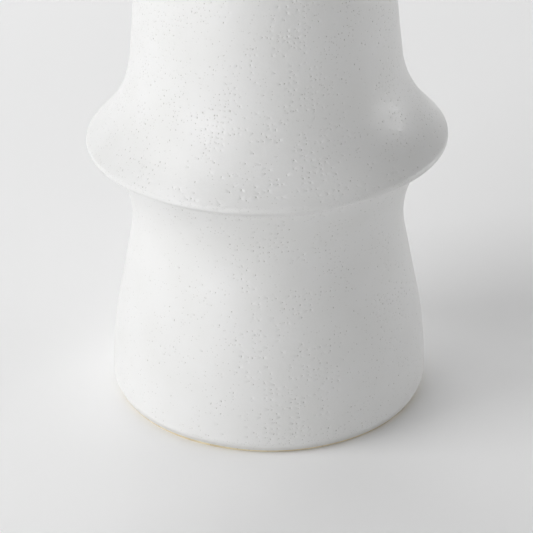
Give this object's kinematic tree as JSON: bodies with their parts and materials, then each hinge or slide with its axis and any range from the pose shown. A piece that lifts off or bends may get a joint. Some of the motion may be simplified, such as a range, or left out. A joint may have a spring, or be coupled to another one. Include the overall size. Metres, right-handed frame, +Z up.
{
  "type": "ceramic bud vase",
  "caption": "Two-tier ceramic bud vase with a flared drum foot, a ring collar, a tapering upper body and a slim neck.",
  "frame": {"origin": "centre of the foot ring's resting face, at floor level", "axes": "+Z up along the vase's axis of symmetry; X and Y are any two level directions, because the vase is round"},
  "size_m": [0.089, 0.089, 0.19],
  "materials": {
    "bare_clay": "matte",
    "speckled_glaze": "satin",
    "liner_glaze": "gloss"
  },
  "bodies": {
    "root": {"clay_body": "bare_clay", "outer_glaze": "speckled_glaze", "inner_glaze": "liner_glaze", "recess_glaze": "speckled_glaze"}
  },
  "joints": []
}
